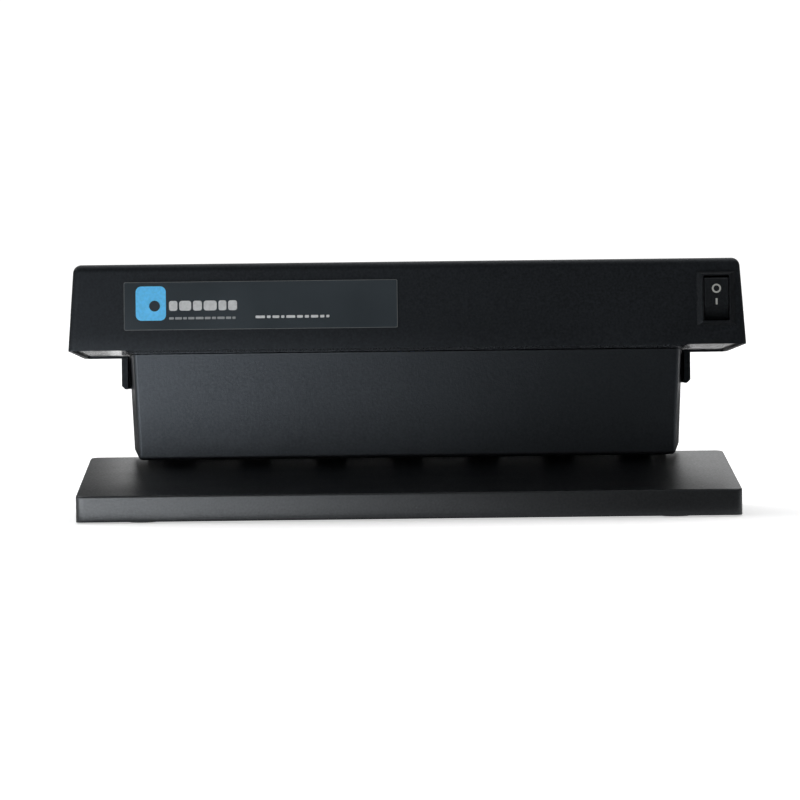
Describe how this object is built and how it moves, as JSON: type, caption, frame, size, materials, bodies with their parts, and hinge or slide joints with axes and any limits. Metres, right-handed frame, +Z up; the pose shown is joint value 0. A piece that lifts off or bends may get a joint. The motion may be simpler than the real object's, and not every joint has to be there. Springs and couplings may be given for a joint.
{
  "type": "counterfeit bill detector",
  "caption": "Desktop ultraviolet counterfeit bill detector: a wide lamp head on a rear column above a sloped note bed, with a rocker switch at the right.",
  "frame": {"origin": "centre of the footprint box, on the surface that the feet stand on", "axes": "+Z up, -Y towards the user (the open side), +X to the user's right, where the switch is"},
  "size_m": [0.2614, 0.1274, 0.0995],
  "materials": {
    "case_plastic": "fine satin texture",
    "bed_plastic": "satin gloss with a light grain",
    "switch_plastic": "satin",
    "label_film": "satin printed film",
    "foot_rubber": "matte",
    "zinc_steel": "zinc plated",
    "reflector_aluminium": "bright rolled",
    "contact_brass": "bright",
    "uv_filter_glass": "near-black violet filter glass",
    "white_thermoplastic": "satin",
    "core_lamination": "varnished laminations",
    "starter_canister": "satin",
    "wire_pvc": "satin"
  },
  "bodies": {
    "case": {"ballast_left": "core_lamination", "ballast_right": "core_lamination", "base_plate": "bed_plastic", "bottom_plate": "zinc_steel", "bottom_plate_screw_1": "zinc_steel", "bottom_plate_screw_2": "zinc_steel", "bottom_plate_screw_3": "zinc_steel", "bottom_plate_screw_4": "zinc_steel", "column_rear_cover": "case_plastic", "column_screw_1": "zinc_steel", "column_screw_2": "zinc_steel", "column_shell": "case_plastic", "cord_gland": "foot_rubber", "foot_back_left": "foot_rubber", "foot_back_right": "foot_rubber", "foot_front_left": "foot_rubber", "foot_front_right": "foot_rubber", "head_cover": "case_plastic", "head_pan": "case_plastic", "label_sticker": "label_film", "lampholder_front_left": "white_thermoplastic", "lampholder_front_right": "white_thermoplastic", "lampholder_rear_left": "white_thermoplastic", "lampholder_rear_right": "white_thermoplastic", "neck_screw_1": "zinc_steel", "neck_screw_2": "zinc_steel", "pan_screw_1": "zinc_steel", "pan_screw_2": "zinc_steel", "pan_screw_3": "zinc_steel", "pan_screw_4": "zinc_steel", "rear_cover_screw_1": "zinc_steel", "rear_cover_screw_2": "zinc_steel", "rear_cover_screw_3": "zinc_steel", "reflector": "reflector_aluminium", "starter_left": "starter_canister", "starter_right": "starter_canister", "starter_socket_left": "white_thermoplastic", "starter_socket_right": "white_thermoplastic", "switch_housing": "switch_plastic", "switch_terminal_line": "contact_brass", "switch_terminal_load": "contact_brass", "terminal_block": "white_thermoplastic", "wire_inlet": "wire_pvc", "wire_lamps_left": "wire_pvc", "wire_lamps_right": "wire_pvc", "wire_switch": "wire_pvc"},
    "lamp_front": {"uv_tube_front": "uv_filter_glass", "tube_cap_front_left": "reflector_aluminium", "tube_cap_front_right": "reflector_aluminium", "holder_rotor_front_left": "white_thermoplastic", "holder_rotor_front_right": "white_thermoplastic"},
    "lamp_rear": {"uv_tube_rear": "uv_filter_glass", "tube_cap_rear_left": "reflector_aluminium", "tube_cap_rear_right": "reflector_aluminium", "holder_rotor_rear_left": "white_thermoplastic", "holder_rotor_rear_right": "white_thermoplastic"},
    "rocker": {"switch_rocker": "switch_plastic", "switch_plunger": "white_thermoplastic", "plunger_spring": "zinc_steel"},
    "contact": {"contact_blade": "contact_brass"}
  },
  "joints": [
    {"name": "rocker_hinge", "type": "hinge", "parent": "case", "child": "rocker", "pos_m": [0.1189, -0.06026, 0.08393], "axis": [-1, 0, 0], "range_deg": [0, 22]},
    {"name": "contact_hinge", "type": "hinge", "parent": "case", "child": "contact", "pos_m": [0.1189, -0.05188, 0.08334], "axis": [-1, 0, 0], "range_deg": [-11, 0]},
    {"name": "front_lamp_turn", "type": "hinge", "parent": "case", "child": "lamp_front", "pos_m": [0, -0.035, 0.08], "axis": [-1, 0, 0], "range_deg": [0, 90]},
    {"name": "rear_lamp_turn", "type": "hinge", "parent": "case", "child": "lamp_rear", "pos_m": [0, -0.007, 0.08], "axis": [-1, 0, 0], "range_deg": [0, 90]}
  ],
  "couplings": [
    {"joint": "contact_hinge", "follows": "rocker_hinge", "ratio": -0.5}
  ]
}
